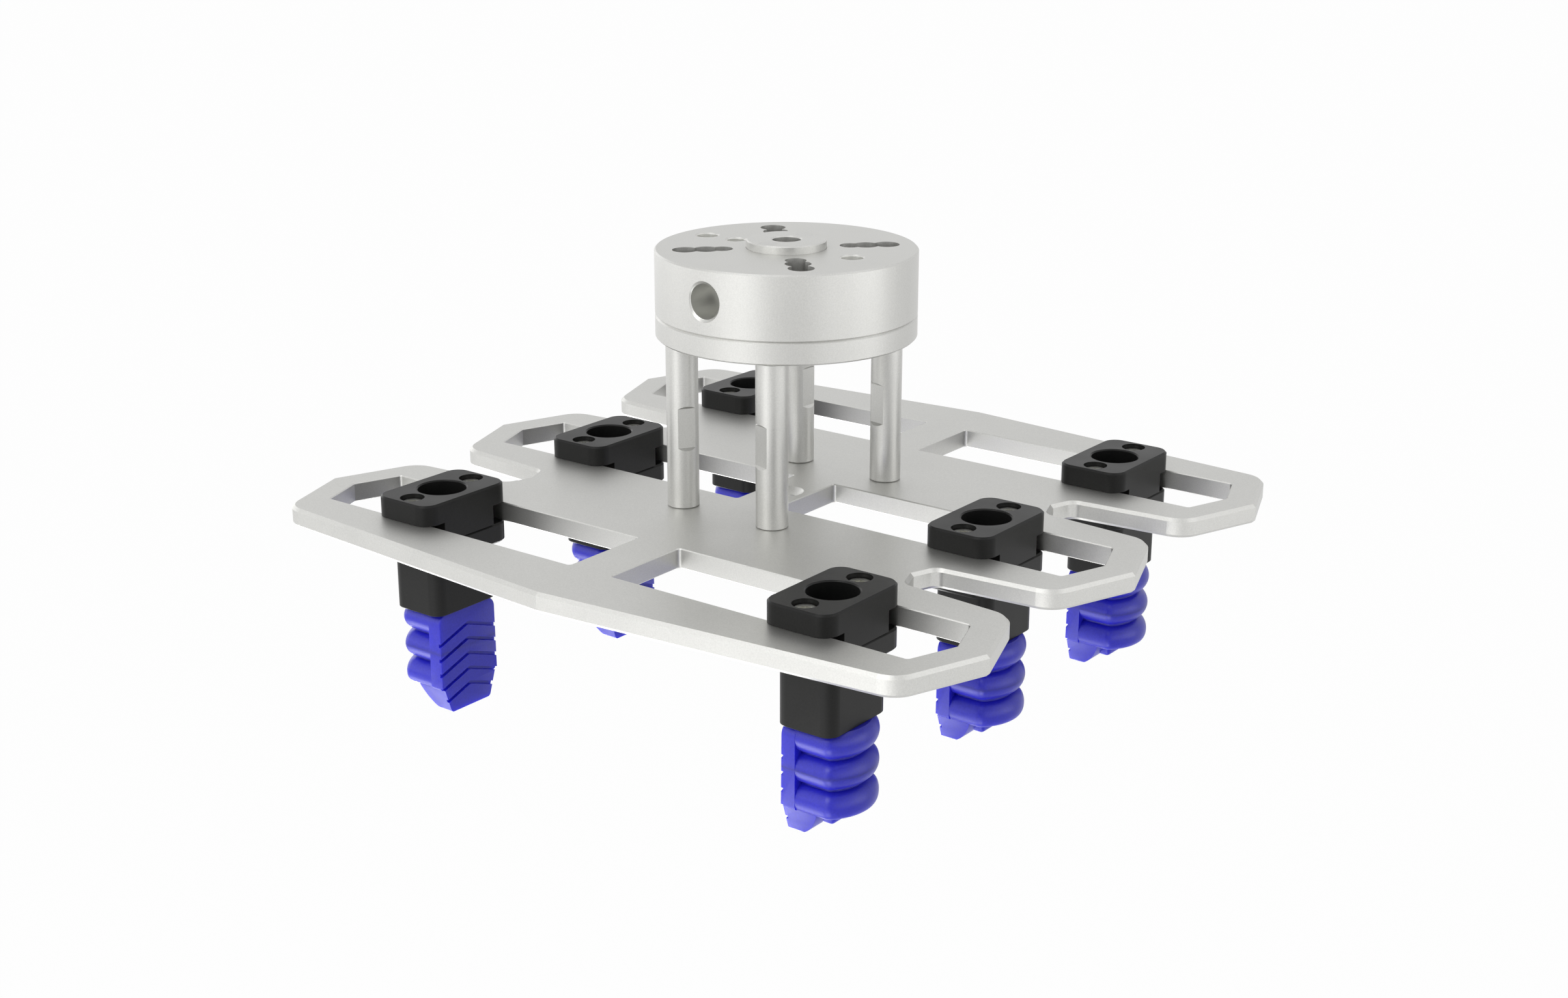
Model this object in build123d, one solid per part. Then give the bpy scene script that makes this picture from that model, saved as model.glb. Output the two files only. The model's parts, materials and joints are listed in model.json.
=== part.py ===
from build123d import *
import os
from math import cos, radians, sin, sqrt, tan

# Six-finger soft gripper for a robot wrist.
# Millimetres, +Z up. The origin is the centre of the robot-side face of the
# wrist flange. X runs along the plate slots, +Y is the rear row of fingers.

# Wrist flange
flange_diameter = 82.0
flange_body_height = 20.4
flange_cover_height = 7.0
flange_rim_chamfer = 0.5
seam_chamfer = 0.5
boss_diameter = 25.0
boss_height = 2.6
boss_chamfer = 0.35
boss_shoulder_width = 0.25
boss_spigot_length = 2.0
boss_mouth_gap = 0.1
centre_bore_diameter = 9.0
centre_bore_chamfer = 0.4
boss_screw_radius = 9.2
boss_screw_head_diameter = 5.4
boss_screw_head_height = 1.6
boss_screw_diameter = 3.0
boss_screw_length = 9.0

# Radial bolt slots: overlapping holes on three bolt circles
bolt_circle_diameters = (40.0, 50.0, 63.0)
bolt_hole_diameters = (6.6, 8.1, 8.1)
bolt_slot_angles = (45.0, 135.0, 225.0, 315.0)
bolt_head_pocket_width = 10.4
bolt_head_pocket_depth = 8.0
dowel_places = (-31.5, -20.0, 25.0)
dowel_diameters = (7.1, 6.0, 7.1)
dowel_chamfer = 0.4

# Side air port
port_diameter = 11.0
port_depth = 16.0
port_below_face = 9.9
port_chamfer = 0.4
port_passage_diameter = 5.0

# Ring seal between flange body and cover
seal_radius = 8.0
seal_section = 1.8
seal_squeeze = 0.2

# Posts
post_diameter = 10.0
post_length = 52.0
post_edge_distance = 6.0
post_flat_depth = 0.85
post_flat_low = 19.7
post_flat_high = 32.3
post_spigot_diameter = 5.0
post_spigot_length = 13.0
post_edge_chamfer = 0.3
post_angles = {"front_left": 240.0, "front_right": 300.0, "rear_left": 120.0, "rear_right": 60.0}
post_flat_angles = {"front_left": -33.0, "front_right": -105.0, "rear_left": -5.0, "rear_right": -100.0}

# Fasteners
clearance = 0.04
cover_screw_diameter = 4.0
cover_screw_head_diameter = 7.5
cover_screw_length = 12.0
cover_screw_angles = (20.0, 160.0, 200.0, 340.0)
cover_screw_edge_distance = 6.0
post_screw_diameter = 5.0
post_screw_head_diameter = 9.6
post_screw_length = 16.0
socket_width_share = 0.7
socket_depth_share = 0.8
screw_edge_chamfer = 0.3
hole_end_gap = 1.0
cut_over = 1.0
match_tolerance = 0.001

# Base plate
plate_thickness = 6.2
plate_chamfer = 1.0
row_pitch = 78.6
edge_slope = 0.083
arm_half_width = 31.6
arm_width_station = 78.0
arm_reach = 126.2
arm_end_angle = 20.0
arm_shoulder_radius = 9.0
notch_inner_reach = 75.7
notch_corner_radius = 3.5
slot_inner = 8.0
slot_width = 30.4
slot_end_wall = 10.27
slot_corner_radius = 1.0
slot_chamfer = 0.3
plate_hole_diameter = 7.0
plate_hole_sink_diameter = 11.4

# Clamps
clamp_place = 75.4
clamp_length = 23.0
clamp_land = 2.8
clamp_height = 6.5
clamp_corner_radius = 5.0
clamp_chamfer = 0.6
clamp_play = 0.1
tongue_gap = 0.2
clamp_bore_diameter = 15.2
clamp_bore_chamfer = 0.4
clamp_screw_wall_gap = 0.5
clamp_screw_diameter = 4.0
clamp_screw_head_diameter = 7.0
clamp_screw_sink_diameter = 7.6
clamp_screw_head_height = 3.2
clamp_screw_sink_depth = 4.6
clamp_screw_hex = 3.0
clamp_screw_hex_depth = 1.8
clamp_screw_end_gap = 1.2

# Finger holders
holder_length = 19.6
holder_width = 27.4
holder_corner_radius = 4.0
holder_drop = 31.0
holder_wall = 2.2
holder_pocket_depth = 13.0
holder_edge_chamfer = 0.3
insert_diameter = 10.0
insert_collar_diameter = 13.0
insert_collar_height = 2.0
insert_bore_diameter = 5.0
insert_below_seat = 0.5
insert_tail = 8.0
soft_play = 0.1

# Soft fingers, measured outwards from the clamp centre
finger_half_width = 12.2
grip_face_offset = 8.6
strip_thickness = 4.85
strip_corner_radius = 3.5
strip_drop = 55.5
bellow_back_radius = 16.0
bellow_back_centre = -3.1
bellow_corner_radius = 2.0
bellow_count = 3
bellow_pitch = 9.3
bellow_first_root = 38.85
bellow_groove_depth = 3.6
bellow_chamfer = 2.6
bellow_gap = 0.7
tip_top_drop = 55.0
tip_drop = 64.6
tip_top_half_width = 11.6
tip_bottom_half_width = 8.4
tip_bottom_thickness = 4.0
tip_back_top = 2.8
tip_back_bulge = 1.65
tip_back_bulge_drop = 0.6
tip_corner_radius = 2.0
nub_length = 5.0
nub_width = 9.0
nub_back = 3.6
nub_drop = 61.3
nub_corner_radius = 1.4
nub_chamfer = 0.8
joint_slit = 0.3
joint_open_angle = 4.6
groove_count = 5
groove_pitch = 4.95
groove_first_drop = 41.2
groove_rise = 4.3
groove_height = 1.25
groove_depth = 0.9

plate_top = -(flange_body_height + flange_cover_height + post_length)
plate_bottom = plate_top - plate_thickness
cover_bottom = -(flange_body_height + flange_cover_height)
post_circle_radius = flange_diameter / 2 - post_edge_distance
cover_screw_circle_radius = flange_diameter / 2 - cover_screw_edge_distance
slot_apex = arm_reach - slot_end_wall
clamp_width = slot_width + 2 * clamp_land
clamp_screw_spacing = slot_width - clamp_screw_diameter - 2 * clamp_screw_wall_gap
tongue_width = clamp_screw_spacing - clamp_screw_diameter - 2 * tongue_gap
rows = {"front": -row_pitch, "middle": 0.0, "rear": row_pitch}
sides = {"left": -1, "right": 1}


def polar(radius, angle):
    return radius * cos(radians(angle)), radius * sin(radians(angle))


def rod(diameter, bottom, top, x=0.0, y=0.0):
    height = top - bottom
    return Pos(x, y, bottom + height / 2) * Cylinder(diameter / 2, height)


def cone_between(bottom_diameter, top_diameter, bottom, top, x=0.0, y=0.0):
    height = top - bottom
    return Pos(x, y, bottom + height / 2) * Cone(bottom_diameter / 2, top_diameter / 2, height)


def prism(face, bottom, top):
    return Pos(0, 0, bottom) * extrude(face, top - bottom)


def level_edges(solid, height):
    return [e for e in solid.edges() if abs(e.bounding_box().min.Z - height) < match_tolerance
            and abs(e.bounding_box().max.Z - height) < match_tolerance]


def bolt_slots(bottom, top):
    cut = None
    for angle in bolt_slot_angles:
        for circle, hole in zip(bolt_circle_diameters, bolt_hole_diameters):
            x, y = polar(circle / 2, angle)
            piece = rod(hole, bottom, top, x, y)
            cut = piece if cut is None else cut + piece
    return cut


def make_flange_body():
    bottom = -flange_body_height
    body = rod(flange_diameter, bottom, 0)
    body = chamfer(level_edges(body, 0), flange_rim_chamfer)
    body = chamfer(level_edges(body, bottom), seam_chamfer)
    body -= rod(centre_bore_diameter, bottom - cut_over, cut_over)
    body -= make_boss_recess()
    body -= bolt_slots(bottom - cut_over, cut_over)
    inner = bolt_circle_diameters[0] / 2
    outer = bolt_circle_diameters[-1] / 2
    for angle in bolt_slot_angles:
        pocket = Pos((inner + outer) / 2, 0) * SlotCenterToCenter(outer - inner, bolt_head_pocket_width)
        body -= Rot(0, 0, angle) * prism(pocket, bottom - cut_over, bottom + bolt_head_pocket_depth)
    for place, diameter in zip(dowel_places, dowel_diameters):
        body -= rod(diameter, bottom - cut_over, cut_over, place, 0)
        body -= cone_between(diameter, diameter + 2 * dowel_chamfer, -dowel_chamfer, 0, place, 0)
    body -= make_port_cut()
    for angle in post_angles.values():
        x, y = polar(post_circle_radius, angle)
        top = cover_bottom + post_spigot_length + hole_end_gap
        body -= rod(post_spigot_diameter + clearance, bottom - cut_over, top, x, y)
    for angle in cover_screw_angles:
        x, y = polar(cover_screw_circle_radius, angle)
        top = cover_bottom + cover_screw_length + hole_end_gap
        body -= rod(cover_screw_diameter + clearance, bottom - cut_over, top, x, y)
    for sign in (-1, 1):
        low = boss_height - boss_screw_length - hole_end_gap
        body -= rod(boss_screw_diameter + clearance, low, cut_over, 0, sign * boss_screw_radius)
    return body


def boss_spigot_diameter():
    return boss_diameter - 2 * boss_shoulder_width


def make_boss_recess():
    recess = boss_spigot_diameter() + clearance
    mouth = boss_diameter + 2 * boss_mouth_gap
    return rod(recess, -boss_spigot_length, cut_over) + cone_between(recess, mouth, -(mouth - recess) / 2, 0)


def make_port_cut():
    mouth = flange_diameter / 2
    port = Cylinder(port_diameter / 2, port_depth + cut_over)
    cut = Pos(0, -mouth + (port_depth - cut_over) / 2, -port_below_face) * Rot(90, 0, 0) * port
    passage = Cylinder(port_passage_diameter / 2, mouth)
    cut += Pos(0, -mouth / 2, -port_below_face) * Rot(90, 0, 0) * passage
    sink = Cone(port_diameter / 2, port_diameter / 2 + 2 * port_chamfer, 2 * port_chamfer)
    cut += Pos(0, -mouth + port_chamfer, -port_below_face) * Rot(90, 0, 0) * sink
    return cut


def make_flange_cover():
    top = -flange_body_height
    cover = rod(flange_diameter, cover_bottom, top)
    cover = chamfer(level_edges(cover, top), seam_chamfer)
    cover = chamfer(level_edges(cover, cover_bottom), seam_chamfer)
    cover -= rod(centre_bore_diameter, cover_bottom - cut_over, top + cut_over)
    groove = Cylinder(seal_radius + seal_section / 2, seal_section) - Cylinder(
        seal_radius - seal_section / 2, seal_section)
    cover -= Pos(0, 0, top - seal_section / 2) * groove
    for angle in post_angles.values():
        x, y = polar(post_circle_radius, angle)
        cover -= rod(post_spigot_diameter + clearance, cover_bottom - cut_over, top + cut_over, x, y)
    sink_height = (cover_screw_head_diameter - cover_screw_diameter) / 2
    for angle in cover_screw_angles:
        x, y = polar(cover_screw_circle_radius, angle)
        cover -= rod(cover_screw_diameter + clearance, cover_bottom - cut_over, top + cut_over, x, y)
        cover -= cone_between(cover_screw_head_diameter + clearance, cover_screw_diameter + clearance,
                              cover_bottom, cover_bottom + sink_height, x, y)
    return cover


def make_cover_seal():
    ring = Torus(seal_radius, seal_section / 2 - clearance)
    return Pos(0, 0, -flange_body_height - seal_section / 2 - clearance / 2) * ring


def make_locating_boss():
    boss = rod(boss_diameter, 0, boss_height)
    boss = chamfer(level_edges(boss, boss_height), boss_chamfer)
    boss += rod(boss_spigot_diameter(), -boss_spigot_length, boss_height / 2)
    bottom = -boss_spigot_length - cut_over
    boss -= rod(centre_bore_diameter, bottom, boss_height + cut_over)
    boss -= cone_between(centre_bore_diameter, centre_bore_diameter + 2 * centre_bore_chamfer,
                         boss_height - centre_bore_chamfer, boss_height)
    for sign in (-1, 1):
        y = sign * boss_screw_radius
        boss -= rod(boss_screw_diameter + clearance, bottom, boss_height, 0, y)
        boss -= rod(boss_screw_head_diameter + clearance,
                    boss_height - boss_screw_head_height, boss_height + cut_over, 0, y)
    return boss


def make_boss_screws():
    group = []
    for sign in (-1, 1):
        y = sign * boss_screw_radius
        head = rod(boss_screw_head_diameter, boss_height - boss_screw_head_height, boss_height, 0, y)
        shank_top = boss_height - boss_screw_head_height / 2
        shank = rod(boss_screw_diameter, boss_height - boss_screw_length, shank_top, 0, y)
        group.append(head + shank)
    return Compound(group)


def countersunk_screw(x, y, bottom, length, diameter, head_diameter):
    head_height = (head_diameter - diameter) / 2
    screw = rod(diameter, bottom + head_height / 2, bottom + length, x, y)
    screw += cone_between(head_diameter, diameter, bottom, bottom + head_height, x, y)
    socket = extrude(RegularPolygon(diameter * socket_width_share / 2, 6), head_height * socket_depth_share)
    return screw - Pos(x, y, bottom) * socket


def make_cover_screws():
    group = []
    for angle in cover_screw_angles:
        x, y = polar(cover_screw_circle_radius, angle)
        group.append(countersunk_screw(x, y, cover_bottom, cover_screw_length,
                                       cover_screw_diameter, cover_screw_head_diameter))
    return Compound(group)


def make_post(angle, flat_angle):
    post = rod(post_diameter, plate_top, cover_bottom)
    post = chamfer(level_edges(post, plate_top) + level_edges(post, cover_bottom), post_edge_chamfer)
    post += rod(post_spigot_diameter, cover_bottom - cut_over, cover_bottom + post_spigot_length)
    screw_top = plate_bottom + post_screw_length + hole_end_gap
    post -= rod(post_screw_diameter + clearance, plate_top - cut_over, screw_top)
    length = post_flat_high - post_flat_low
    runout = 2 * post_flat_depth
    outside = post_flat_depth + cut_over
    outline = Polyline((0, 0), (0, length), (-post_flat_depth, length + runout / 2),
                       (-outside, length + runout), (-outside, -runout), (-post_flat_depth, -runout / 2),
                       close=True)
    cutter = extrude(Plane.XZ * make_face(outline), post_diameter / 2, both=True)
    near = post_diameter / 2 - post_flat_depth
    for turn in (0, 180):
        level = Pos(near, 0, plate_top + post_flat_low)
        post -= Rot(0, 0, flat_angle + turn) * level * mirror(cutter, Plane.YZ)
    x, y = polar(post_circle_radius, angle)
    return Pos(x, y, 0) * post


def make_post_screws():
    group = []
    for angle in post_angles.values():
        x, y = polar(post_circle_radius, angle)
        group.append(countersunk_screw(x, y, plate_bottom, post_screw_length,
                                       post_screw_diameter, post_screw_head_diameter))
    return Compound(group)


def arm_side(x):
    return arm_half_width - edge_slope * (x - arm_width_station)


def shoulder_point():
    slope = tan(radians(arm_end_angle))
    y = (arm_side(0) - edge_slope * arm_reach) / (1 - edge_slope * slope)
    return arm_reach - slope * y, y


def make_base_plate():
    slope = tan(radians(arm_end_angle))
    shoulder_x, shoulder_y = shoulder_point()
    half_notch = row_pitch / 2 - arm_side(notch_inner_reach)
    corner_x = notch_inner_reach + slope * half_notch
    corner_y = row_pitch / 2 - arm_side(corner_x)
    quarter = [(0, row_pitch + arm_side(0))]
    for row in (row_pitch, 0.0):
        quarter += [(shoulder_x, row + shoulder_y), (arm_reach, row)]
        if row:
            quarter += [(shoulder_x, row - shoulder_y), (corner_x, row_pitch / 2 + corner_y),
                        (notch_inner_reach, row_pitch / 2), (corner_x, row_pitch / 2 - corner_y)]
    right = quarter + [(x, -y) for x, y in reversed(quarter[:-1])]
    points = right + [(-x, y) for x, y in reversed(right[1:-1])]
    face = make_face(Polyline(*points, close=True))
    shoulders = [v for v in face.vertices() if abs(abs(v.X) - shoulder_x) < match_tolerance]
    face = fillet(shoulders, arm_shoulder_radius)
    corners = [v for v in face.vertices() if abs(abs(v.X) - corner_x) < match_tolerance]
    face = fillet(corners, notch_corner_radius)
    plate = prism(face, plate_bottom, plate_top)
    plate = chamfer(level_edges(plate, plate_top) + level_edges(plate, plate_bottom), plate_chamfer)
    for side in sides.values():
        for row in rows.values():
            plate -= make_slot_cut(side, row)
    rims = level_edges(plate, plate_top) + level_edges(plate, plate_bottom)
    plate = chamfer([edge for edge in rims if is_slot_edge(edge)], slot_chamfer)
    plate -= rod(plate_hole_diameter, plate_bottom - cut_over, plate_top + cut_over)
    sink = (plate_hole_sink_diameter - plate_hole_diameter) / 2
    plate -= cone_between(plate_hole_diameter, plate_hole_sink_diameter, plate_top - sink, plate_top)
    sink = (post_screw_head_diameter - post_screw_diameter) / 2
    for angle in post_angles.values():
        x, y = polar(post_circle_radius, angle)
        plate -= rod(post_screw_diameter + clearance, plate_bottom - cut_over, plate_top + cut_over, x, y)
        plate -= cone_between(post_screw_head_diameter + clearance, post_screw_diameter + clearance,
                              plate_bottom, plate_bottom + sink, x, y)
    return plate


def make_slot_cut(side, row):
    half = slot_width / 2
    corner = slot_apex - tan(radians(arm_end_angle)) * half
    points = [(slot_inner, -half), (corner, -half), (slot_apex, 0), (corner, half), (slot_inner, half)]
    face = make_face(Polyline(*[(side * x, row + y) for x, y in points], close=True))
    corners = [v for v in face.vertices() if abs(abs(v.X) - slot_apex) > match_tolerance]
    return prism(fillet(corners, slot_corner_radius), plate_bottom - cut_over, plate_top + cut_over)


def is_slot_edge(edge):
    middle = edge.center()
    near_row = min(abs(middle.Y - row) for row in rows.values())
    beside = near_row < slot_width / 2 + match_tolerance
    return beside and slot_inner - match_tolerance < abs(middle.X) < slot_apex + match_tolerance


def make_clamp_top():
    bottom = plate_top + clamp_play
    top = bottom + clamp_height
    block = prism(RectangleRounded(clamp_length, clamp_width, clamp_corner_radius), bottom, top)
    block = chamfer(level_edges(block, top), clamp_chamfer)
    block += prism(Rectangle(clamp_length, tongue_width), plate_bottom, bottom + cut_over)
    block -= rod(clamp_bore_diameter, plate_bottom - cut_over, top + cut_over)
    block -= cone_between(clamp_bore_diameter, clamp_bore_diameter + 2 * clamp_bore_chamfer,
                          top - clamp_bore_chamfer, top)
    for sign in (-1, 1):
        y = sign * clamp_screw_spacing / 2
        block -= rod(clamp_screw_diameter + clearance, plate_bottom - cut_over, top, 0, y)
        block -= rod(clamp_screw_sink_diameter, top - clamp_screw_sink_depth, top + cut_over, 0, y)
    return block


def make_clamp_screws():
    seat = plate_top + clamp_play + clamp_height - clamp_screw_sink_depth
    group = []
    for sign in (-1, 1):
        y = sign * clamp_screw_spacing / 2
        head = rod(clamp_screw_head_diameter, seat, seat + clamp_screw_head_height, 0, y)
        head = chamfer(level_edges(head, seat + clamp_screw_head_height), screw_edge_chamfer)
        end = plate_bottom - clamp_play - clamp_height + clamp_screw_end_gap
        head += rod(clamp_screw_diameter, end, seat + cut_over, 0, y)
        socket = extrude(RegularPolygon(clamp_screw_hex / 2, 6, major_radius=False),
                         clamp_screw_hex_depth + cut_over)
        head -= Pos(0, y, seat + clamp_screw_head_height - clamp_screw_hex_depth) * socket
        group.append(head)
    return Compound(group)


def make_holder():
    top = plate_bottom - clamp_play
    flange_low = top - clamp_height
    bottom = plate_top - holder_drop
    holder = prism(RectangleRounded(clamp_length, clamp_width, clamp_corner_radius), flange_low, top)
    holder = chamfer(level_edges(holder, top) + level_edges(holder, flange_low), clamp_chamfer)
    cup_face = RectangleRounded(holder_length, holder_width, holder_corner_radius)
    cup = prism(cup_face, bottom, flange_low + cut_over)
    holder += chamfer(level_edges(cup, bottom), holder_edge_chamfer)
    pocket = RectangleRounded(holder_length - 2 * holder_wall, holder_width - 2 * holder_wall,
                              holder_corner_radius - holder_wall)
    holder -= prism(pocket, bottom - cut_over, bottom + holder_pocket_depth)
    holder -= rod(insert_diameter + clearance, bottom, top + cut_over)
    for sign in (-1, 1):
        y = sign * clamp_screw_spacing / 2
        floor = flange_low + clamp_screw_end_gap / 2
        holder -= rod(clamp_screw_diameter + clearance, floor, top + cut_over, 0, y)
    return holder


def make_air_insert():
    pocket_top = plate_top - holder_drop + holder_pocket_depth
    low = pocket_top - insert_tail
    high = plate_bottom - insert_below_seat
    insert = rod(insert_diameter, low, high)
    insert += rod(insert_collar_diameter, pocket_top - insert_collar_height, pocket_top)
    return insert - rod(insert_bore_diameter, low - cut_over, high + cut_over)


def bellow_face(shrink):
    half = finger_half_width - shrink
    radius = bellow_back_radius - shrink
    corner = bellow_back_centre + sqrt(radius ** 2 - half ** 2)
    back = bellow_back_centre + radius
    front = -grip_face_offset + strip_thickness / 2
    lines = Polyline((corner, half), (front, half), (front, -half), (corner, -half))
    lines += ThreePointArc((corner, -half), (back, 0), (corner, half))
    face = make_face(lines)
    ends = [v for v in face.vertices() if abs(v.X - corner) < match_tolerance]
    return fillet(ends, bellow_corner_radius)


def make_bellow(centre):
    high = centre + bellow_pitch / 2 - bellow_gap / 2
    low = centre - bellow_pitch / 2 + bellow_gap / 2
    lobe = prism(bellow_face(0.0), low + bellow_chamfer, high - bellow_chamfer)
    for end, inside in ((low, low + bellow_chamfer), (high, high - bellow_chamfer)):
        outer = Pos(0, 0, inside) * bellow_face(0.0)
        inner = Pos(0, 0, end) * bellow_face(bellow_chamfer)
        lobe += loft([outer, inner], ruled=True)
    return lobe


def make_finger_tip_form():
    top = plate_top - tip_top_drop
    bottom = plate_top - tip_drop
    back_low = -grip_face_offset + tip_bottom_thickness
    middle = ((tip_back_top + back_low) / 2 + tip_back_bulge, (top + bottom) / 2 - tip_back_bulge_drop)
    outline = Polyline((tip_back_top, top), (-grip_face_offset, top), (-grip_face_offset, bottom),
                       (back_low, bottom))
    outline += ThreePointArc((back_low, bottom), middle, (tip_back_top, top))
    form = extrude(Plane.XZ * make_face(outline), tip_top_half_width, both=True)
    front = make_face(Polyline((-tip_top_half_width, top), (tip_top_half_width, top),
                               (tip_bottom_half_width, bottom), (-tip_bottom_half_width, bottom), close=True))
    front = fillet([v for v in front.vertices() if v.Y < (top + bottom) / 2], tip_corner_radius)
    return form & extrude(Plane.YZ * front, flange_diameter, both=True)


def make_nub():
    bottom = plate_top - nub_drop
    face = Pos(nub_back - nub_length / 2, 0) * RectangleRounded(nub_length, nub_width, nub_corner_radius)
    nub = prism(face, bottom, plate_top - tip_top_drop)
    return chamfer(level_edges(nub, bottom), nub_chamfer)


def make_strip():
    top = plate_top - holder_drop
    bottom = plate_top - strip_drop
    middle = (top + bottom) / 2
    outline = Pos(0, middle) * Rectangle(2 * finger_half_width, top - bottom)
    outline = fillet([v for v in outline.vertices() if v.Y > middle], strip_corner_radius)
    strip = extrude(Plane.YZ * outline, strip_thickness)
    return Pos(-grip_face_offset, 0, 0) * strip


def chevron_cut(drop):
    z = plate_top - drop
    half = finger_half_width + cut_over
    rise = groove_rise * half / finger_half_width
    low = z - (rise - groove_rise)
    points = [(-half, low), (0, low + rise), (half, low), (half, low + groove_height),
              (0, low + rise + groove_height), (-half, low + groove_height)]
    bar = extrude(Plane.YZ * make_face(Polyline(*points, close=True)), groove_depth + cut_over)
    return Pos(-grip_face_offset - cut_over, 0, 0) * bar


def joint_cut(drop):
    z = plate_top - drop
    reach = 3 * finger_half_width
    open_half = joint_slit / 2 + reach * tan(radians(joint_open_angle / 2))
    wedge = make_face(Polyline((-cut_over, -joint_slit / 2), (0, -joint_slit / 2), (reach, -open_half),
                               (reach, open_half), (0, joint_slit / 2), (-cut_over, joint_slit / 2),
                               close=True))
    cutter = extrude(Plane.XZ * wedge, finger_half_width + cut_over, both=True)
    return Pos(-grip_face_offset, 0, z) * cutter


def make_finger():
    top = plate_top - holder_drop
    roots = [bellow_first_root + i * bellow_pitch for i in range(bellow_count)]
    finger = make_strip()
    foot = plate_top - strip_drop
    finger += prism(bellow_face(bellow_groove_depth), foot, top)
    window = Pos(0, 0, (top + foot) / 2) * Box(flange_diameter, flange_diameter, top - foot)
    for root in roots:
        finger += make_bellow(plate_top - root + bellow_pitch / 2) & window
    finger += make_finger_tip_form() + make_nub()
    for i in range(groove_count):
        finger -= chevron_cut(groove_first_drop + i * groove_pitch)
    plug = RectangleRounded(holder_length - 2 * holder_wall - 2 * soft_play,
                            holder_width - 2 * holder_wall - 2 * soft_play,
                            holder_corner_radius - holder_wall - soft_play)
    pocket_top = top + holder_pocket_depth
    finger += prism(plug, top - cut_over, pocket_top - soft_play)
    finger -= rod(insert_diameter + clearance, pocket_top - insert_tail - soft_play, pocket_top)
    finger -= rod(insert_collar_diameter + clearance,
                  pocket_top - insert_collar_height - soft_play, pocket_top)
    for root in roots[:-1]:
        finger -= joint_cut(root)
    return sorted(finger.solids(), key=lambda solid: -solid.center().Z)


def place(shape, side, row):
    turned = shape if side > 0 else Rot(0, 0, 180) * shape
    return Pos(side * clamp_place, row, 0) * turned


def save(shape, name):
    export_step(shape, f"parts/{name}.step")


def main():
    os.makedirs("parts", exist_ok=True)
    save(make_flange_body(), "flange_body")
    save(make_flange_cover(), "flange_cover")
    save(make_cover_seal(), "cover_seal")
    save(make_cover_screws(), "cover_screws")
    save(make_locating_boss(), "locating_boss")
    save(make_boss_screws(), "boss_screws")
    for name, angle in post_angles.items():
        save(make_post(angle, post_flat_angles[name]), f"post_{name}")
    save(make_post_screws(), "post_screws")
    save(make_base_plate(), "base_plate")
    root, middle, tip = make_finger()
    pieces = {
        "clamp_top": make_clamp_top(),
        "clamp_screws": make_clamp_screws(),
        "finger_holder": make_holder(),
        "air_insert": make_air_insert(),
        "finger_root": root,
        "finger_middle": middle,
        "finger_tip": tip,
    }
    for side_name, side in sides.items():
        for row_name, row in rows.items():
            for kind, shape in pieces.items():
                save(place(shape, side, row), f"{kind}_{side_name}_{row_name}")


main()
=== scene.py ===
import json
from math import atan2, cos, degrees, pi, radians, sin, sqrt

import bmesh
import bpy
from mathutils import Matrix, Vector


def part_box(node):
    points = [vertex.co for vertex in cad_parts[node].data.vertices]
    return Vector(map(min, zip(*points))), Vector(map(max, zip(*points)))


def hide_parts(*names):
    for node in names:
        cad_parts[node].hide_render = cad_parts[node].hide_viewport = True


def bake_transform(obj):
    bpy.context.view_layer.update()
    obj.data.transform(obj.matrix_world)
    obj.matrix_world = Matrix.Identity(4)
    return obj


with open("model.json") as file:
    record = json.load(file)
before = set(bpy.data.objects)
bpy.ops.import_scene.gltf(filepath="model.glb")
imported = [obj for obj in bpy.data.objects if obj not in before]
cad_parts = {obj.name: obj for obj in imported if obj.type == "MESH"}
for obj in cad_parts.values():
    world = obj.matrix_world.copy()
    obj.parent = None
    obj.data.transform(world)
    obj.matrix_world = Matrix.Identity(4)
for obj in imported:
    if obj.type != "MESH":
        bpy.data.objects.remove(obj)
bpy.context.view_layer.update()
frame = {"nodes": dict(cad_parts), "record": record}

# Millimetres are used for the sizes of the modelled pieces, metres for everything that is placed.
MM = 0.001

# How near a point counts as lying on a face, and how far a cutting piece reaches past what it cuts, in millimetres
NEAR = 0.01
CUT_OVER = 1.0

SIDES = {"left": -1, "right": 1}
ROWS = ("front", "middle", "rear")

PLATE_LOW, PLATE_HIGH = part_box("base_plate")
PLATE_TOP = PLATE_HIGH.z

# Finger sizes, measured outwards (u) from the clamp's centre and down (drop) from the plate's top face
HOLDER_DROP = 31.0
GRIP = -8.6
STRIP_BACK = -3.75
STRIP_HALF = 12.2
STRIP_TOP_RADIUS = 3.5
STRIP_DROP = 56.5
STRIP_EDGE = 0.45
STRIP_OVERLAP = 0.7
STRIP_BOTTOM_EDGE = 1.0
SHARP_ANGLE = 50.0

LOBE_DROPS = (34.8, 44.1, 53.4)
LOBE_PITCH = 9.3
LOBE_RADIUS = 4.6
LOBE_HALF = 12.17
LOBE_GROOVE = 3.2
LOBE_ROWS = 9
LOBE_BAND = 0.2
LOBE_FIRST_GAP = 0.1
SIDE_STEPS = 5
CORNER_STEPS = 6
BACK_STEPS = 14
BACK_RADIUS = 16.0
BACK_CENTRE = -3.1
CORNER_RADIUS = 3.4
CORNER_SHRINK = 0.45
FOOT_DROP = 56.5
FOOT_RADIUS = 1.4
FOOT_ROUND_HEIGHT = 2.6
FOOT_STEPS = 6

TIP_DROP = 64.6
TIP_HALF_TOP = 11.1
TIP_HALF_BOTTOM = 8.5
TIP_CORNER = 0.9
TIP_EDGE = 0.5
TIP_SET_BACK = 0.005
TIP_BACK = ((3.2, 53.0), (3.0, 55.5), (2.6, 57.4), (1.8, 59.0), (0.7, 60.8), (-0.4, 62.1), (-1.55, 63.2),
            (-2.7, 64.0), (-3.8, 64.6))

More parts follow.
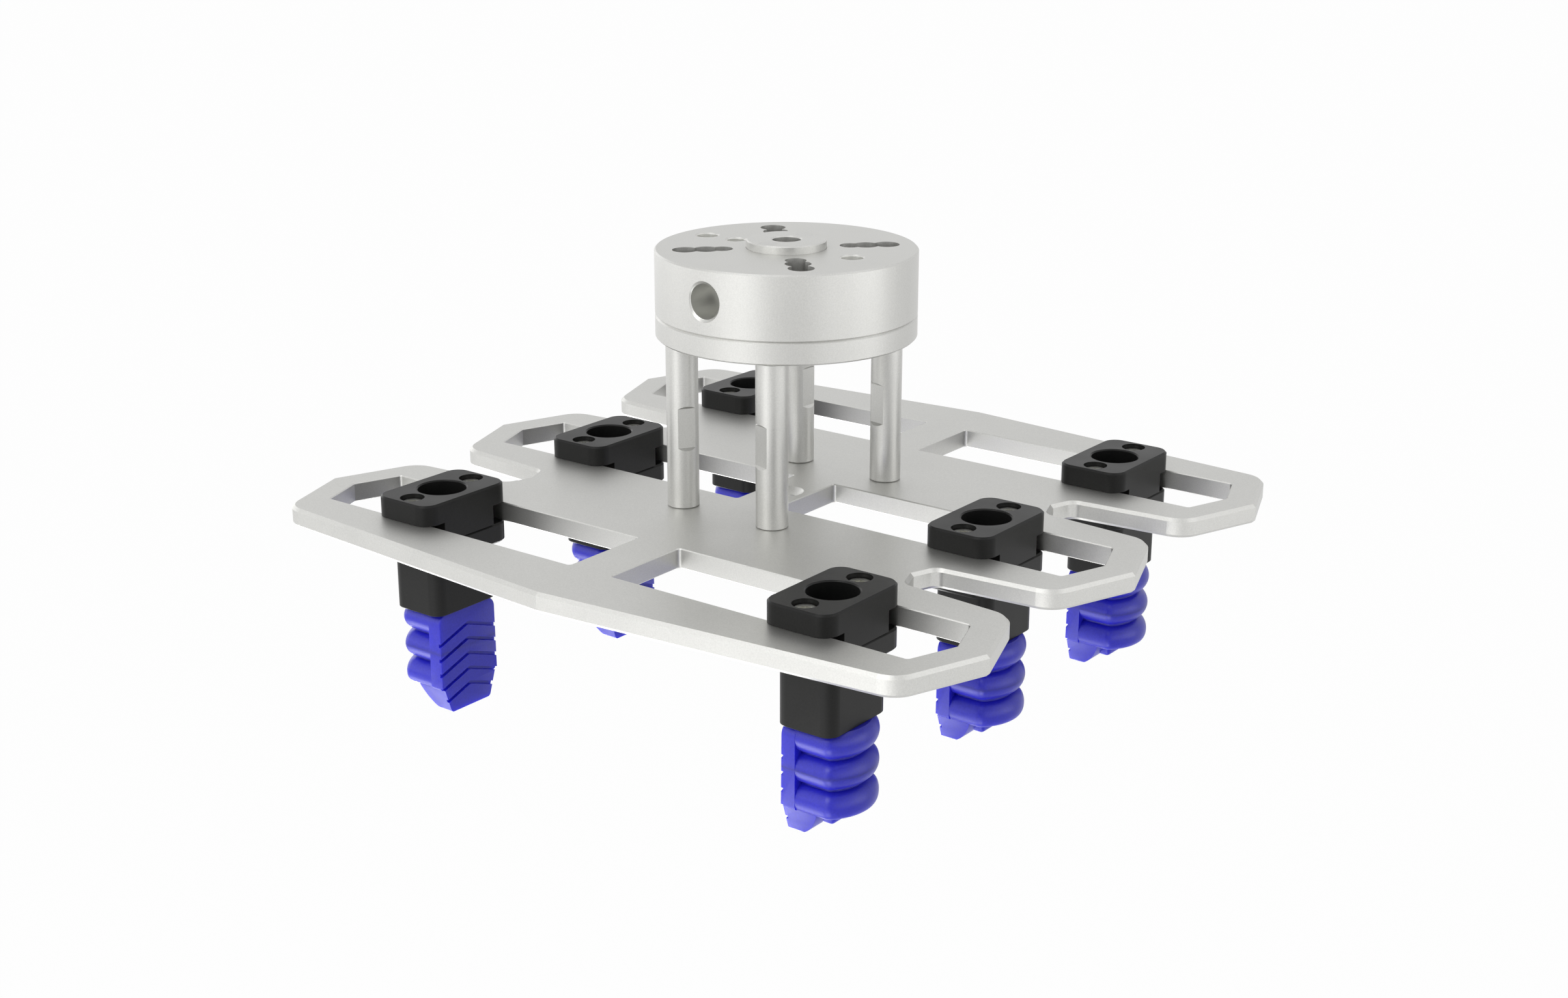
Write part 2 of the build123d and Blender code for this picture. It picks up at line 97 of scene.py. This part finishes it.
NUB_LOW = (-1.4, -4.5, 62.0)
NUB_HIGH = (3.9, 4.5, 54.5)
NUB_ROUND = 1.5

CHEVRON_COUNT = 5
CHEVRON_PITCH = 5.07
CHEVRON_FIRST = 41.6
CHEVRON_RISE = 4.3
CHEVRON_HEIGHT = 1.25
CHEVRON_DEPTH = 0.8
CHEVRON_FLAT = 0.15

SPLIT_DROP = 44.1

PLUG_SIZE = (15.0, 22.8, 12.8)
PLUG_LAP = 0.5
PLUG_EDGE = 1.6

FINGER_SMOOTH_ANGLE = 38.0


def new_object(name, mesh):
    obj = bpy.data.objects.new(name, mesh)
    bpy.context.scene.collection.objects.link(obj)
    return obj


def mesh_from(bm, name):
    bmesh.ops.recalc_face_normals(bm, faces=bm.faces)
    mesh = bpy.data.meshes.new(name)
    bm.to_mesh(mesh)
    bm.free()
    return mesh


def bake(obj):
    """Applies the object's modifiers to its mesh."""
    bpy.context.view_layer.update()
    graph = bpy.context.evaluated_depsgraph_get()
    mesh = bpy.data.meshes.new_from_object(obj.evaluated_get(graph))
    obj.modifiers.clear()
    obj.data = mesh
    return obj


def remove(obj):
    bpy.data.objects.remove(obj)


def bevel(obj, width, segments=2, angle=30.0):
    mod = obj.modifiers.new("edge", "BEVEL")
    mod.width = width
    mod.segments = segments
    mod.limit_method = "ANGLE"
    mod.angle_limit = radians(angle)
    return bake(obj)


def combine(obj, other, operation):
    mod = obj.modifiers.new("cut", "BOOLEAN")
    mod.operation = operation
    mod.solver = "EXACT"
    mod.object = other
    bake(obj)
    remove(other)
    return obj


def smooth(mesh, angle):
    for polygon in mesh.polygons:
        polygon.use_smooth = True
    mesh.set_sharp_from_angle(angle=radians(angle))


def prism(name, outline, vector):
    """A closed prism: the outline's points, pushed along a vector."""
    bm = bmesh.new()
    verts = [bm.verts.new(p) for p in outline]
    face = bm.faces.new(verts)
    pushed = bmesh.ops.extrude_face_region(bm, geom=[face])["geom"]
    moved = [g for g in pushed if isinstance(g, bmesh.types.BMVert)]
    bmesh.ops.translate(bm, verts=moved, vec=vector)
    return new_object(name, mesh_from(bm, name))


def arc(centre, radius, start, stop, steps):
    """Points on a circle, angles in degrees, both ends included."""
    angles = [radians(start + (stop - start) * i / steps) for i in range(steps + 1)]
    return [(centre[0] + radius * cos(a), centre[1] + radius * sin(a)) for a in angles]


# Soft fingers. They are built once round the clamp's centre in millimetres, with +u as +X and z = -drop.

def bellow_ring(shrink):
    """The bellows' outline seen from above, pulled in by an amount at its sides and back."""
    half = LOBE_HALF - shrink
    back = BACK_RADIUS - shrink
    corner = CORNER_RADIUS - CORNER_SHRINK * shrink
    centre_u = BACK_CENTRE + sqrt((back - corner) ** 2 - (half - corner) ** 2)
    turn = degrees(atan2(half - corner, centre_u - BACK_CENTRE))
    front = STRIP_BACK - STRIP_OVERLAP
    side = [(front, half), (STRIP_BACK, half)]
    side += [(STRIP_BACK + (centre_u - STRIP_BACK) * i / SIDE_STEPS, half) for i in range(1, SIDE_STEPS)]
    side += arc((centre_u, half - corner), corner, 90, turn, CORNER_STEPS)
    side += arc((BACK_CENTRE, 0), back, turn, 0, BACK_STEPS)[1:]
    return side + [(u, -y) for u, y in reversed(side[:-1])]


def lobe_rows(drop):
    """(drop, shrink) down one lobe, from groove floor to groove floor."""
    widest = LOBE_PITCH / 2
    edge = sqrt(LOBE_RADIUS ** 2 - (LOBE_RADIUS - LOBE_GROOVE) ** 2)
    limit = atan2(edge, LOBE_RADIUS - LOBE_GROOVE)
    rows = [(-widest, LOBE_GROOVE)]
    for i in range(LOBE_ROWS):
        angle = -limit + limit * i / LOBE_ROWS
        rows.append((LOBE_RADIUS * sin(angle), LOBE_RADIUS * (1 - cos(angle))))
    rows.append((-LOBE_BAND, 0.0))
    rows += [(-z, shrink) for z, shrink in reversed(rows[1:])]
    return [(drop + z, shrink) for z, shrink in rows]


def bellow_rows():
    """(drop, shrink) down the whole bellows: three lobes, the last of which runs straight into the foot."""
    rows = [row for drop in LOBE_DROPS for row in lobe_rows(drop)]
    last = LOBE_DROPS[-1]
    rows = [row for row in rows if HOLDER_DROP + LOBE_FIRST_GAP < row[0] <= last + LOBE_BAND]
    first = LOBE_DROPS[0] - HOLDER_DROP
    rows.insert(0, (HOLDER_DROP, LOBE_RADIUS - sqrt(LOBE_RADIUS ** 2 - first ** 2)))
    for i in range(FOOT_STEPS + 1):
        angle = pi / 2 * i / FOOT_STEPS
        rows.append((FOOT_DROP - FOOT_ROUND_HEIGHT * (1 - sin(angle)), FOOT_RADIUS * (1 - cos(angle))))
    return rows


def make_bellows():
    bm = bmesh.new()
    rings = []
    for drop, shrink in bellow_rows():
        rings.append([bm.verts.new((u, y, -drop)) for u, y in bellow_ring(shrink)])
    for upper, lower in zip(rings, rings[1:]):
        count = len(upper)
        for i in range(count):
            j = (i + 1) % count
            bm.faces.new((upper[i], upper[j], lower[j], lower[i]))
    bm.faces.new(rings[0])
    bm.faces.new(list(reversed(rings[-1])))
    return new_object("bellows", mesh_from(bm, "bellows"))


def edges_across(bm, z):
    """The edges at a height that run along u, so at the piece's two sides."""
    return [e for e in bm.edges if all(abs(v.co.z - z) < NEAR for v in e.verts)
            and abs(e.verts[0].co.y - e.verts[1].co.y) < NEAR]


def is_front_rim(edge, lowest):
    on_front = all(abs(v.co.x - GRIP) < NEAR and v.co.z > lowest for v in edge.verts)
    return on_front and len(edge.link_faces) == 2 and edge.calc_face_angle() > radians(SHARP_ANGLE)


def make_strip():
    """The grip strip. Its front bottom edge stays sharp, because the tip carries on below it."""
    top, bottom = -HOLDER_DROP, -STRIP_DROP
    half, r = STRIP_HALF, STRIP_TOP_RADIUS
    outline = arc((half - r, top - r), r, 0, 90, 8) + arc((-half + r, top - r), r, 90, 180, 8)
    outline += [(-half, bottom), (half, bottom)]
    strip = prism("strip", [(GRIP, y, z) for y, z in outline], (STRIP_BACK - GRIP, 0, 0))
    bm = bmesh.new()
    bm.from_mesh(strip.data)
    bmesh.ops.bevel(bm, geom=edges_across(bm, bottom), offset=STRIP_BOTTOM_EDGE, segments=4, profile=0.5,
                    affect="EDGES")
    bm.to_mesh(strip.data)
    bm.clear()
    bm.from_mesh(strip.data)
    front = [e for e in bm.edges if is_front_rim(e, bottom + STRIP_BOTTOM_EDGE - NEAR)]
    bmesh.ops.bevel(bm, geom=front, offset=STRIP_EDGE, segments=3, profile=0.5, affect="EDGES")
    bm.to_mesh(strip.data)
    bm.free()
    return strip


def make_tip():
    """The wedge below the strip: a front outline cut to the profile of its back."""
    top, bottom = -TIP_BACK[0][1], -TIP_DROP
    right = [(TIP_HALF_TOP, top), (TIP_HALF_TOP, -STRIP_DROP), (TIP_HALF_BOTTOM, bottom)]
    outline = [(-y, z) for y, z in right] + list(reversed(right))
    length = TIP_BACK[0][0] - GRIP + CUT_OVER
    front = prism("tip", [(GRIP + TIP_SET_BACK, y, z) for y, z in outline], (length, 0, 0))
    bm = bmesh.new()
    bm.from_mesh(front.data)
    bmesh.ops.bevel(bm, geom=edges_across(bm, bottom), offset=TIP_CORNER, segments=6, profile=0.5,
                    affect="EDGES")
    bm.to_mesh(front.data)
    bm.free()
    ahead = GRIP - CUT_OVER
    side = [(ahead, top), *[(u, -drop) for u, drop in TIP_BACK], (ahead, bottom)]
    wide = STRIP_HALF + 2 * CUT_OVER
    cutter = prism("profile", [(u, -wide, z) for u, z in side], (0, 2 * wide, 0))
    tip = combine(front, cutter, "INTERSECT")
    return bevel(tip, TIP_EDGE, 3, 40)


def make_nub():
    low, high = Vector(NUB_LOW), Vector(NUB_HIGH)
    low.z, high.z = -low.z, -high.z
    outline = [(low.x, low.y), (high.x, low.y), (high.x, high.y), (low.x, high.y)]
    nub = prism("nub", [(x, y, low.z) for x, y in outline], (0, 0, high.z - low.z))
    return bevel(nub, NUB_ROUND, 5, 30)


def make_chevron(index):
    low = -(CHEVRON_FIRST + index * CHEVRON_PITCH)
    half = STRIP_HALF + CUT_OVER
    rise = CHEVRON_RISE * half / STRIP_HALF
    base = low - (rise - CHEVRON_RISE)
    slope = rise / half
    flat_z = low + CHEVRON_RISE - slope * CHEVRON_FLAT
    line = [(-half, base), (-CHEVRON_FLAT, flat_z), (CHEVRON_FLAT, flat_z), (half, base)]
    outline = line + [(y, z + CHEVRON_HEIGHT) for y, z in reversed(line)]
    return prism("chevron", [(GRIP - CUT_OVER, y, z) for y, z in outline], (CUT_OVER + CHEVRON_DEPTH, 0, 0))


def make_plug():
    """The finger's root, hidden in the holder's pocket."""
    length, width, height = PLUG_SIZE
    half_length, half_width = length / 2, width / 2
    outline = [(-half_length, -half_width), (half_length, -half_width), (half_length, half_width),
               (-half_length, half_width)]
    low = -HOLDER_DROP - PLUG_LAP
    plug = prism("plug", [(x, y, low) for x, y in outline], (0, 0, height + PLUG_LAP))
    return bevel(plug, PLUG_EDGE, 3, 30)


def make_finger_form():
    finger = combine(make_strip(), make_bellows(), "UNION")
    finger = combine(finger, make_tip(), "UNION")
    finger = combine(finger, make_nub(), "UNION")
    finger = combine(finger, make_plug(), "UNION")
    for index in range(CHEVRON_COUNT):
        finger = combine(finger, make_chevron(index), "DIFFERENCE")
    return finger


def cut_level(mesh, drop, keep_above):
    """The closed part of a mesh above or below a level."""
    bm = bmesh.new()
    bm.from_mesh(mesh)
    geometry = bm.verts[:] + bm.edges[:] + bm.faces[:]
    cut = bmesh.ops.bisect_plane(bm, geom=geometry, plane_co=(0, 0, -drop), plane_no=(0, 0, 1),
                                 clear_inner=keep_above, clear_outer=not keep_above)
    edges = [g for g in cut["geom_cut"] if isinstance(g, bmesh.types.BMEdge)]
    bmesh.ops.holes_fill(bm, edges=edges, sides=0)
    return mesh_from(bm, "finger")


def place_finger_part(mesh, name, side, row):
    """A copy of the finger part on its clamp, in metres."""
    low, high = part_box(f"clamp_top_{name}")
    centre = (low + high) / 2
    turn = Matrix.Rotation(0 if side > 0 else pi, 4, "Z")
    place = Matrix.Translation((centre.x, centre.y, PLATE_TOP)) @ turn @ Matrix.Scale(MM, 4)
    part = mesh.copy()
    part.transform(place)
    smooth(part, FINGER_SMOOTH_ANGLE)
    return part


def add_fingers():
    form = make_finger_form()
    upper = cut_level(form.data, SPLIT_DROP, True)
    lower = cut_level(form.data, SPLIT_DROP, False)
    remove(form)
    for side_name, side in SIDES.items():
        for row in ROWS:
            name = f"{side_name}_{row}"
            parts = {"upper": (upper, 0), "lower": (lower, 1)}
            for part_name, (mesh, index) in parts.items():
                piece = new_object(f"soft_finger_{part_name}_{name}", place_finger_part(mesh, name, side, row))
                piece.data.materials.clear()
                piece.data.materials.append(silicone)
                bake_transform(piece)
                nodes = ("finger_root", "finger_middle") if index == 0 else ("finger_middle", "finger_tip")
                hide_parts(*[f"{node}_{name}" for node in nodes])


# Materials

# Sockets of the Mix node when it mixes colours: the two colours, and the result among the outputs
MIX_FIRST, MIX_SECOND, MIX_RESULT = 6, 7, 2

# Nearly all of a noise texture's values lie between these two
NOISE_LOW, NOISE_HIGH = 0.3, 0.7

SILICONE_DARK, SILICONE_LIGHT = (0.017, 0.017, 0.51), (0.025, 0.025, 0.60)
STEEL_DARK, STEEL_LIGHT = (0.62, 0.62, 0.58), (0.76, 0.76, 0.71)
RUBBER_DARK, RUBBER_LIGHT = (0.014, 0.014, 0.014), (0.022, 0.022, 0.022)
# Painted light: the near-white colour painted on the walls of the flange's holes
PAINTED_BORE_LIGHT = (0.86, 0.86, 0.83)


class Nodes:
    """A material's node tree, with one call per node."""

    def __init__(self, name):
        self.material = bpy.data.materials.new(name)
        self.material.use_nodes = True
        self.tree = self.material.node_tree
        self.shader = self.tree.nodes["Principled BSDF"]

    def add(self, kind, **settings):
        node = self.tree.nodes.new(kind)
        for key, value in settings.items():
            setattr(node, key, value)
        return node

    def link(self, source, target):
        self.tree.links.new(source, target)

    def put(self, name, value):
        self.shader.inputs[name].default_value = value

    def noise(self, scale, detail=2.0, roughness=0.5):
        node = self.add("ShaderNodeTexNoise")
        node.inputs["Scale"].default_value = scale
        node.inputs["Detail"].default_value = detail
        node.inputs["Roughness"].default_value = roughness
        self.link(self.coordinates(), node.inputs["Vector"])
        return node.outputs["Fac"]

    def coordinates(self):
        node = self.tree.nodes.get("place")
        if node is None:
            node = self.add("ShaderNodeTexCoord", name="place")
        return node.outputs["Object"]

    def spread(self, value, low, high):
        """A noise value mapped to a range from low to high."""
        node = self.add("ShaderNodeMapRange")
        node.inputs["From Min"].default_value = NOISE_LOW
        node.inputs["From Max"].default_value = NOISE_HIGH
        node.inputs["To Min"].default_value = low
        node.inputs["To Max"].default_value = high
        self.link(value, node.inputs["Value"])
        return node.outputs["Result"]

    def between(self, value, dark, light):
        node = self.add("ShaderNodeMix", data_type="RGBA")
        self.link(value, node.inputs["Factor"])
        node.inputs[MIX_FIRST].default_value = (*dark, 1)
        node.inputs[MIX_SECOND].default_value = (*light, 1)
        return node.outputs[MIX_RESULT]

    def math(self, operation, first, second):
        node = self.add("ShaderNodeMath", operation=operation)
        for value, socket in zip((first, second), node.inputs):
            if isinstance(value, (int, float)):
                socket.default_value = value
            else:
                self.link(value, socket)
        return node.outputs["Value"]

    def within(self, point, axis, radius, reach):
        """1 inside a round hole that starts at a point and runs the given length along an axis, 0 elsewhere."""
        away = self.add("ShaderNodeVectorMath", operation="SUBTRACT")
        self.link(self.coordinates(), away.inputs[0])
        away.inputs[1].default_value = point
        across = self.add("ShaderNodeVectorMath", operation="CROSS_PRODUCT")
        along = self.add("ShaderNodeVectorMath", operation="DOT_PRODUCT")
        for node in (across, along):
            self.link(away.outputs["Vector"], node.inputs[0])
            node.inputs[1].default_value = axis
        length = self.add("ShaderNodeVectorMath", operation="LENGTH")
        self.link(across.outputs["Vector"], length.inputs[0])
        near = self.math("LESS_THAN", length.outputs["Value"], radius)
        deep = self.math("GREATER_THAN", along.outputs["Value"], 0.0)
        short = self.math("LESS_THAN", along.outputs["Value"], reach)
        return self.math("MULTIPLY", near, self.math("MULTIPLY", deep, short))

    def bump(self, value, strength, distance):
        node = self.add("ShaderNodeBump")
        node.inputs["Strength"].default_value = strength
        node.inputs["Distance"].default_value = distance
        self.link(value, node.inputs["Height"])
        self.link(node.outputs["Normal"], self.shader.inputs["Normal"])


def make_aluminium(name, tone=0.54, roughness=0.42, painted_light_bores=()):
    """Bead-blasted clear-anodised aluminium: a fine grain that glitters a little. The walls of the given holes are
    painted near white, as painted light inside them.
    """
    m = Nodes(name)
    m.put("Metallic", 1.0)
    grain = m.noise(2600, 3.0, 0.6)
    clouds = m.noise(45, 3.0)
    warm = (tone, tone * 0.998, tone * 0.965)
    dark = tuple(c * 0.93 for c in warm)
    light = tuple(min(c * 1.06, 1) for c in warm)
    colour = m.between(m.spread(grain, 0.0, 1.0), dark, light)
    # Painted light: the walls of the given holes get a near-white colour in place of the light inside them
    for bore in painted_light_bores:
        painted_light_mix = m.add("ShaderNodeMix", data_type="RGBA")
        m.link(m.within(*bore), painted_light_mix.inputs["Factor"])
        m.link(colour, painted_light_mix.inputs[MIX_FIRST])
        painted_light_mix.inputs[MIX_SECOND].default_value = (*PAINTED_BORE_LIGHT, 1)
        colour = painted_light_mix.outputs[MIX_RESULT]
    m.link(colour, m.shader.inputs["Base Color"])
    m.link(m.spread(clouds, roughness - 0.03, roughness + 0.03), m.shader.inputs["Roughness"])
    m.bump(grain, 0.12, 0.0001)
    return m.material


def make_black(name, tone=0.009, roughness=0.38):
    """Black anodised, matte with a slight sheen and a fine grain."""
    m = Nodes(name)
    m.put("Specular IOR Level", 0.2)
    grain = m.noise(1900, 3.0, 0.55)
    clouds = m.noise(60, 2.0)
    dark = (tone * 0.85, tone * 0.85, tone * 0.83)
    light = (tone * 1.2, tone * 1.2, tone * 1.16)
    m.link(m.between(m.spread(grain, 0.0, 1.0), dark, light), m.shader.inputs["Base Color"])
    m.link(m.spread(clouds, roughness - 0.04, roughness + 0.04), m.shader.inputs["Roughness"])
    m.bump(grain, 0.1, 0.0001)
    return m.material


def make_silicone(name):
    """Matte translucent silicone, in which blue light travels much further than red and green."""
    m = Nodes(name)
    grain = m.noise(1500, 3.0, 0.6)
    m.link(m.between(m.spread(grain, 0.0, 1.0), SILICONE_DARK, SILICONE_LIGHT), m.shader.inputs["Base Color"])
    m.put("Roughness", 0.38)
    m.put("Subsurface Weight", 0.7)
    m.put("Subsurface Radius", (0.0006, 0.0006, 0.006))
    m.put("Subsurface Scale", 1.0)
    m.put("Sheen Weight", 0.06)
    m.put("Sheen Roughness", 0.4)
    m.bump(grain, 0.1, 0.00012)
    return m.material


def make_screw_steel(name):
    m = Nodes(name)
    m.put("Metallic", 1.0)
    grain = m.noise(900, 3.0)
    m.link(m.between(m.spread(grain, 0.0, 1.0), STEEL_DARK, STEEL_LIGHT), m.shader.inputs["Base Color"])
    m.put("Roughness", 0.32)
    m.bump(grain, 0.08, 0.0001)
    return m.material


def make_rubber(name):
    m = Nodes(name)
    grain = m.noise(700, 3.0)
    m.link(m.between(m.spread(grain, 0.0, 1.0), RUBBER_DARK, RUBBER_LIGHT), m.shader.inputs["Base Color"])
    m.put("Roughness", 0.65)
    m.bump(grain, 0.15, 0.0001)
    return m.material


# Holes of the flange body whose walls get painted light, as (start, axis, radius, reach). They start inside the
# chamfer at their mouth, and are a hair wider than the hole, so that its wall lies inside.
FLANGE_DEPTH = 0.0204
PORT_START, PORT_RADIUS, PORT_REACH = (0, -0.0407, -0.0099), 0.00555, 0.0155
PORT = (PORT_START, (0, 1, 0), PORT_RADIUS, PORT_REACH)
DOWEL_START_Z = -0.0003
DOWEL_RADII = {-0.0315: 0.0036, -0.020: 0.00305, 0.025: 0.0036}
DOWELS = [((x, 0, DOWEL_START_Z), (0, 0, -1), radius, FLANGE_DEPTH) for x, radius in DOWEL_RADII.items()]

aluminium = make_aluminium("satin_aluminium")
# The flange's port and dowel holes get painted light on their walls
flange_aluminium = make_aluminium("aluminium_painted_bore_light", painted_light_bores=[PORT, *DOWELS])
screw_aluminium = make_aluminium("turned_aluminium", tone=0.5, roughness=0.34)
black = make_black("black_anodised")
silicone = make_silicone("blue_silicone")
screw_steel = make_screw_steel("screw_steel")
rubber = make_rubber("seal_rubber")

SLOT_MATERIALS = {
    "flange_aluminium": flange_aluminium,
    "plate_aluminium": aluminium,
    "post_aluminium": aluminium,
    "boss_screw_aluminium": screw_aluminium,
    "screw_steel": screw_steel,
    "black_anodised": black,
    "insert_black": rubber,
    "seal_rubber": rubber,
    "silicone_blue": silicone,
}


def dress_nodes():
    slots = {s["node"]: s["material_slot"] for s in frame["record"]["subparts"]}
    for name, obj in frame["nodes"].items():
        material = SLOT_MATERIALS[slots[name]]
        for slot in obj.material_slots:
            slot.material = material


# Studio

CAMERA_EYE = (0.40460, -0.53598, 0.13821)
CAMERA_TARGET = (-0.00054, -0.00041, -0.08213)
CAMERA_LENS = 50.514
CAMERA_ROLL = 0.074
SENSOR_WIDTH = 36.0

FLOOR_Z = -1.0
FLOOR_HALF = 14.0
FLOOR_COLOUR = (0.9, 0.9, 0.9)
FLOOR_GLOW = 0.985
BACKDROP = (1.0, 1.0, 1.0, 1)
SOFT_LIGHT = 0.08

LAMP_TARGET = (0, 0, -0.08)

# Azimuth and elevation in degrees, distance and size in metres, and energy in watts
LAMPS = {
    "front_low": (-93, 8, 1.6, 0.9, 2.4),
    "left_front_low": (-125, 8, 1.6, 0.9, 2.0),
    "front_high": (-93, 45, 1.6, 0.9, 9.4),
    "right_low": (-13, 8, 1.6, 0.9, 2.4),
    "rear_right_low": (22, 8, 1.6, 0.9, 4.2),
    "rear_right_high": (22, 45, 1.6, 0.9, 1.8),
    "left_low": (-158, 8, 1.6, 0.9, 3.1),
    "rear_left_low": (167, 8, 1.6, 0.9, 2.3),
    "front_under": (-93, -25, 1.1, 0.62, 1.0),
    "left_deep": (-140, -50, 1.1, 0.62, 5.6),
    "front_deep": (-70, -50, 1.1, 0.62, 5.2),
    "rear_deep": (146, -50, 1.1, 0.62, 7.0),
}


def add_camera():
    data = bpy.data.cameras.new("camera")
    data.lens = CAMERA_LENS
    data.sensor_width = SENSOR_WIDTH
    camera = new_object("camera", data)
    eye, target = Vector(CAMERA_EYE), Vector(CAMERA_TARGET)
    look = (target - eye).to_track_quat("-Z", "Y").to_matrix().to_4x4()
    camera.matrix_world = Matrix.Translation(eye) @ look @ Matrix.Rotation(radians(CAMERA_ROLL), 4, "Z")
    bpy.context.scene.camera = camera


def seen_directly(tree):
    """1 for camera, glossy and transmission rays, which all meet the plain backdrop, and 0 for the rest."""
    rays = tree.nodes.new("ShaderNodeLightPath")
    total = rays.outputs["Is Camera Ray"]
    for kind in ("Is Glossy Ray", "Is Transmission Ray"):
        node = tree.nodes.new("ShaderNodeMath")
        node.operation = "MAXIMUM"
        tree.links.new(total, node.inputs[0])
        tree.links.new(rays.outputs[kind], node.inputs[1])
        total = node.outputs["Value"]
    return total


def add_floor():
    bm = bmesh.new()
    half = FLOOR_HALF
    corners = [(-half, -half), (half, -half), (half, half), (-half, half)]
    bm.faces.new([bm.verts.new((x, y, FLOOR_Z)) for x, y in corners])
    floor = new_object("studio_floor", mesh_from(bm, "studio_floor"))
    m = Nodes("floor_white")
    m.put("Base Color", (*FLOOR_COLOUR, 1))
    m.put("Roughness", 0.9)
    m.put("Specular IOR Level", 0.0)
    glow = m.add("ShaderNodeEmission")
    glow.inputs["Color"].default_value = BACKDROP
    glow.inputs["Strength"].default_value = 1.0
    share = m.add("ShaderNodeMath", operation="MULTIPLY")
    m.link(seen_directly(m.tree), share.inputs[0])
    share.inputs[1].default_value = FLOOR_GLOW
    mix = m.add("ShaderNodeMixShader")
    m.link(share.outputs["Value"], mix.inputs["Fac"])
    m.link(m.shader.outputs["BSDF"], mix.inputs[1])
    m.link(glow.outputs["Emission"], mix.inputs[2])
    m.link(mix.outputs["Shader"], m.tree.nodes["Material Output"].inputs["Surface"])
    floor.data.materials.append(m.material)


def add_world():
    world = bpy.data.worlds.new("studio")
    world.use_nodes = True
    bpy.context.scene.world = world
    tree = world.node_tree
    soft = tree.nodes["Background"]
    soft.inputs["Color"].default_value = (1, 1, 1, 1)
    soft.inputs["Strength"].default_value = SOFT_LIGHT
    white = tree.nodes.new("ShaderNodeBackground")
    white.inputs["Color"].default_value = BACKDROP
    white.inputs["Strength"].default_value = 1.0
    mix = tree.nodes.new("ShaderNodeMixShader")
    tree.links.new(seen_directly(tree), mix.inputs["Fac"])
    tree.links.new(soft.outputs["Background"], mix.inputs[1])
    tree.links.new(white.outputs["Background"], mix.inputs[2])
    tree.links.new(mix.outputs["Shader"], tree.nodes["World Output"].inputs["Surface"])


def add_lamp(name, azimuth, elevation, distance, size, energy):
    """A square softbox aimed at the gripper, its place given by two angles in degrees and a distance."""
    target = Vector(LAMP_TARGET)
    flat = distance * cos(radians(elevation))
    away = Vector((flat * cos(radians(azimuth)), flat * sin(radians(azimuth)), distance * sin(radians(elevation))))
    data = bpy.data.lights.new(name, "AREA")
    data.shape = "SQUARE"
    data.size = size
    data.energy = energy
    light = new_object(name, data)
    light.location = target + away
    light.rotation_euler = (-away).to_track_quat("-Z", "Y").to_euler()


add_fingers()
dress_nodes()
add_world()
for lamp, settings in LAMPS.items():
    add_lamp(lamp, *settings)
add_floor()
add_camera()
bpy.context.scene.view_settings.view_transform = "Standard"
